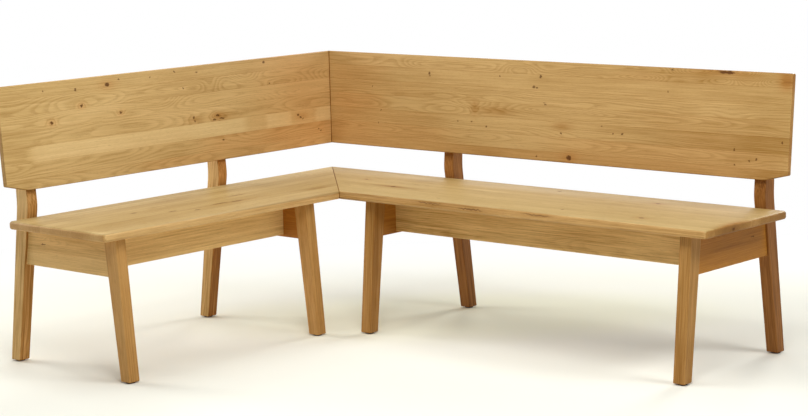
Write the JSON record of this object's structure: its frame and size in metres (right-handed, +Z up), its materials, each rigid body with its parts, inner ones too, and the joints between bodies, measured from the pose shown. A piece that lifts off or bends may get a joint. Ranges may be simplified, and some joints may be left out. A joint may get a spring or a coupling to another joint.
{
  "type": "corner bench",
  "caption": "L-shaped corner dining bench in solid oak: two mitred seat boards, two leaning back panels, splayed legs and bent rear posts joined by aprons.",
  "frame": {"origin": "on the floor, below the middle of the bench's overall box", "axes": "+X along the long wing away from the corner, -Y along the short wing away from the corner, +Z up; the corner is at -X, +Y, and both wings face away from it, towards -Y and +X"},
  "size_m": [1.9637, 1.5617, 0.8661],
  "materials": {
    "oak_board": "oiled, satin",
    "oak_frame": "oiled, satin",
    "beech_dowel": "raw",
    "zinc_steel": "zinc plated",
    "foot_glide": "matte"
  },
  "bodies": {
    "root": {"back_corner_angle": "zinc_steel", "foot_glides": "foot_glide", "leg_dowels": "beech_dowel", "long_back_panel": "oak_board", "long_cross_apron_corner": "oak_frame", "long_cross_apron_outer": "oak_frame", "long_front_apron": "oak_frame", "long_front_leg_corner": "oak_frame", "long_front_leg_outer": "oak_frame", "long_rear_apron": "oak_frame", "long_rear_leg_corner": "oak_frame", "long_rear_leg_outer": "oak_frame", "long_seat_board": "oak_board", "post_screws": "zinc_steel", "rail_dowels": "beech_dowel", "seat_angles": "zinc_steel", "seat_corner_plates": "zinc_steel", "seat_mitre_dowels": "beech_dowel", "short_back_panel": "oak_board", "short_cross_apron_corner": "oak_frame", "short_cross_apron_outer": "oak_frame", "short_front_apron": "oak_frame", "short_front_leg_corner": "oak_frame", "short_front_leg_outer": "oak_frame", "short_rear_apron": "oak_frame", "short_rear_leg_corner": "oak_frame", "short_rear_leg_outer": "oak_frame", "short_screws": "zinc_steel", "short_seat_board": "oak_board"}
  },
  "joints": []
}
